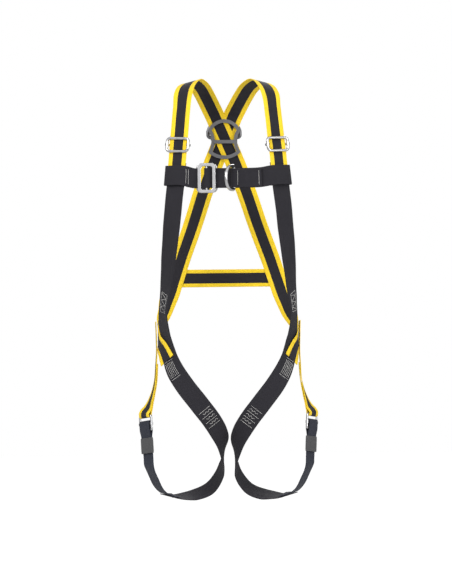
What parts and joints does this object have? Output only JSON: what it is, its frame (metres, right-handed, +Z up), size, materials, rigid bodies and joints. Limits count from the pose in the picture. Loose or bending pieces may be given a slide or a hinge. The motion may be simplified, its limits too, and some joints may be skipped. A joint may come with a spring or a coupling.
{
  "type": "safety harness",
  "caption": "Full-body fall-arrest harness with shoulder, chest, back and leg webbing straps, sliding adjusters, a pass-through chest buckle and dorsal and chest attachment rings",
  "frame": {"origin": "middle of the eye of the dorsal ring at rest", "axes": "+Z up, the wearer faces -Y, +X is the wearer's left"},
  "size_m": [0.4122, 0.2786, 0.9652],
  "materials": {
    "webbing_two_tone": "yellow polyester webbing with a wide black middle stripe",
    "webbing_black": "black polyester webbing",
    "webbing_navy": "blue-black polyester webbing",
    "elastic_grey": "dark grey elastic",
    "thread_white": "white polyester thread",
    "steel_bright": "bright plated steel",
    "steel_dark": "dark grey coated steel"
  },
  "bodies": {
    "torso": {"shoulder_strap_left": "webbing_two_tone", "shoulder_strap_right": "webbing_two_tone", "torso_strap_left": "webbing_black", "torso_strap_right": "webbing_black", "chest_strap_left": "webbing_black", "chest_strap_right": "webbing_black", "chest_ring_loop": "webbing_black", "back_strap": "webbing_two_tone", "dorsal_plate": "steel_dark"},
    "dorsal_ring": {"dorsal_d_ring": "steel_dark"},
    "chest_ring": {"chest_d_ring": "steel_bright"},
    "buckle_plate": {"chest_buckle_plate": "steel_bright"},
    "buckle_frame": {"chest_buckle_frame": "steel_bright"},
    "adjuster_left": {"shoulder_adjuster_frame_left": "steel_bright"},
    "adjuster_bar_left": {"shoulder_adjuster_bar_left": "steel_bright"},
    "leg_loop_left": {"leg_strap_left": "webbing_black", "hip_tab_left": "webbing_two_tone", "thigh_strap_left": "webbing_two_tone", "leg_tail_left": "webbing_navy", "leg_buckle_frame_left": "steel_bright", "stitching_leg_left": "thread_white"},
    "leg_bar_left": {"leg_buckle_bar_left": "steel_bright"},
    "keeper_left": {"keeper_left": "elastic_grey"},
    "adjuster_right": {"shoulder_adjuster_frame_right": "steel_bright"},
    "adjuster_bar_right": {"shoulder_adjuster_bar_right": "steel_bright"},
    "leg_loop_right": {"leg_strap_right": "webbing_black", "hip_tab_right": "webbing_two_tone", "thigh_strap_right": "webbing_two_tone", "leg_tail_right": "webbing_navy", "leg_buckle_frame_right": "steel_bright", "stitching_leg_right": "thread_white"},
    "leg_bar_right": {"leg_buckle_bar_right": "steel_bright"},
    "keeper_right": {"keeper_right": "elastic_grey"}
  },
  "joints": [
    {"name": "dorsal_ring_swing", "type": "hinge", "parent": "torso", "child": "dorsal_ring", "pos_m": [0, 0, -0.02], "axis": [-1, 0, 0], "range_deg": [0, 160]},
    {"name": "chest_ring_swing", "type": "hinge", "parent": "torso", "child": "chest_ring", "pos_m": [0.012, -0.2337, -0.121], "axis": [0, 0, 1], "range_deg": [-37, 68]},
    {"name": "buckle_plate_tilt", "type": "hinge", "parent": "torso", "child": "buckle_plate", "pos_m": [-0.05, -0.2322, -0.121], "axis": [0, 0, 1], "range_deg": [-8, 8]},
    {"name": "buckle_frame_tilt", "type": "hinge", "parent": "torso", "child": "buckle_frame", "pos_m": [-0.07, -0.2227, -0.121], "axis": [0, 0, 1], "range_deg": [0, 8]},
    {"name": "adjuster_slide_left", "type": "slide", "parent": "torso", "child": "adjuster_left", "axis": [-0.0979, 0.0918, 0.991], "range_m": [-0.016, 0.04]},
    {"name": "adjuster_bar_slide_left", "type": "slide", "parent": "adjuster_left", "child": "adjuster_bar_left", "axis": [-0.0979, 0.0918, 0.991], "range_m": [-0.004, 0.004]},
    {"name": "leg_swing_left", "type": "hinge", "parent": "torso", "child": "leg_loop_left", "pos_m": [0.158, -0.1072, -0.459], "axis": [-1, 0, 0], "range_deg": [-12, 25]},
    {"name": "leg_bar_slide_left", "type": "slide", "parent": "leg_loop_left", "child": "leg_bar_left", "axis": [0.0491, 0.0923, 0.9945], "range_m": [0, 0.0025]},
    {"name": "keeper_slide_left", "type": "slide", "parent": "leg_loop_left", "child": "keeper_left", "axis": [-0.0491, -0.0923, -0.9945], "range_m": [0, 0.012]},
    {"name": "adjuster_slide_right", "type": "slide", "parent": "torso", "child": "adjuster_right", "axis": [0.0979, 0.0918, 0.991], "range_m": [-0.016, 0.04]},
    {"name": "adjuster_bar_slide_right", "type": "slide", "parent": "adjuster_right", "child": "adjuster_bar_right", "axis": [0.0979, 0.0918, 0.991], "range_m": [-0.004, 0.004]},
    {"name": "leg_swing_right", "type": "hinge", "parent": "torso", "child": "leg_loop_right", "pos_m": [-0.158, -0.1072, -0.459], "axis": [-1, 0, 0], "range_deg": [-12, 25]},
    {"name": "leg_bar_slide_right", "type": "slide", "parent": "leg_loop_right", "child": "leg_bar_right", "axis": [-0.0491, 0.0923, 0.9945], "range_m": [0, 0.0025]},
    {"name": "keeper_slide_right", "type": "slide", "parent": "leg_loop_right", "child": "keeper_right", "axis": [0.0491, -0.0923, -0.9945], "range_m": [0, 0.012]}
  ]
}
